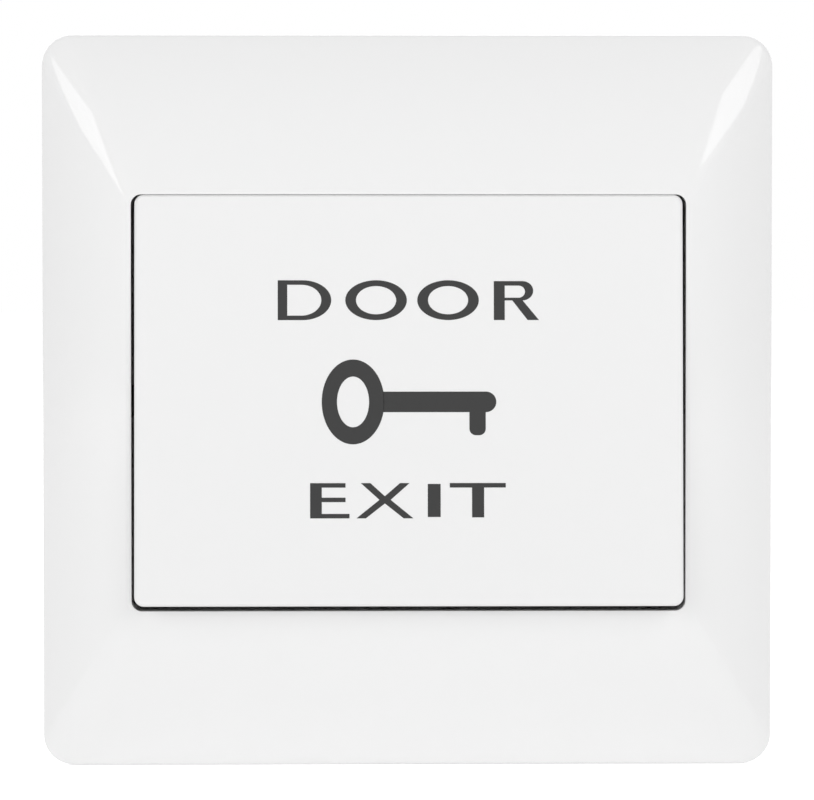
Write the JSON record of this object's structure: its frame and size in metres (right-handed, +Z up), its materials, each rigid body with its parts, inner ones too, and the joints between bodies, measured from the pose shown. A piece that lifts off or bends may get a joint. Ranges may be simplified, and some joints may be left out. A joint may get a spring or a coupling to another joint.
{
  "type": "door exit button",
  "caption": "Square wall-mounted door release with a wide top-hinged push plate in a crowned clip-on cover, over a sprung make contact in a rear housing.",
  "frame": {"origin": "on the wall plane, midway between the two wall screws, at the centre of the square plate", "axes": "+X to the right across the plate, +Y into the wall, +Z up; the front faces -Y"},
  "size_m": [0.086, 0.0235, 0.086],
  "materials": {
    "cover_plastic": "glossy white moulded ABS",
    "button_plastic": "satin white moulded ABS",
    "base_plastic": "matt white moulded polycarbonate",
    "housing_plastic": "matt off-white moulded nylon",
    "plunger_plastic": "smooth natural acetal",
    "spring_steel": "drawn stainless wire",
    "contact_silver": "bright silver alloy",
    "strip_brass": "stamped brass",
    "bridge_bronze": "stamped phosphor bronze",
    "screw_steel": "bright zinc plated steel"
  },
  "bodies": {
    "wall_unit": {"frame_cover": "cover_plastic", "mounting_base": "base_plastic", "switch_housing": "housing_plastic", "housing_lid": "housing_plastic", "fixed_contact_left": "contact_silver", "fixed_contact_right": "contact_silver", "contact_strip_left": "strip_brass", "contact_strip_right": "strip_brass", "terminal_clamp_left": "screw_steel", "terminal_clamp_right": "screw_steel", "terminal_screw_left": "screw_steel", "terminal_screw_right": "screw_steel", "case_screw_upper": "screw_steel", "case_screw_lower": "screw_steel", "return_spring": "spring_steel"},
    "button": {"button_cap": "button_plastic"},
    "plunger": {"plunger": "plunger_plastic", "contact_spring": "spring_steel"},
    "bridge": {"contact_bridge": "bridge_bronze", "moving_contact_left": "contact_silver", "moving_contact_right": "contact_silver"}
  },
  "joints": [
    {"name": "button_press", "type": "hinge", "parent": "wall_unit", "child": "button", "pos_m": [0, -0.005, 0.019], "axis": [1, 0, 0], "range_deg": [0, 3.6], "stiffness_Nm_per_rad": 1.6, "springref_deg": -2.29},
    {"name": "plunger_slide", "type": "slide", "parent": "wall_unit", "child": "plunger", "axis": [0, 1, 0], "range_m": [0, 0.00145], "deforming": ["return_spring"]},
    {"name": "bridge_slide", "type": "slide", "parent": "plunger", "child": "bridge", "axis": [0, -1, 0], "range_m": [0, 0.00042], "deforming": ["contact_spring"]}
  ],
  "couplings": [
    {"joint": "plunger_slide", "follows": "button_press", "m_per_rad": 0.023},
    {"joint": "bridge_slide", "follows": "button_press", "m_per_rad": 0.0066}
  ]
}
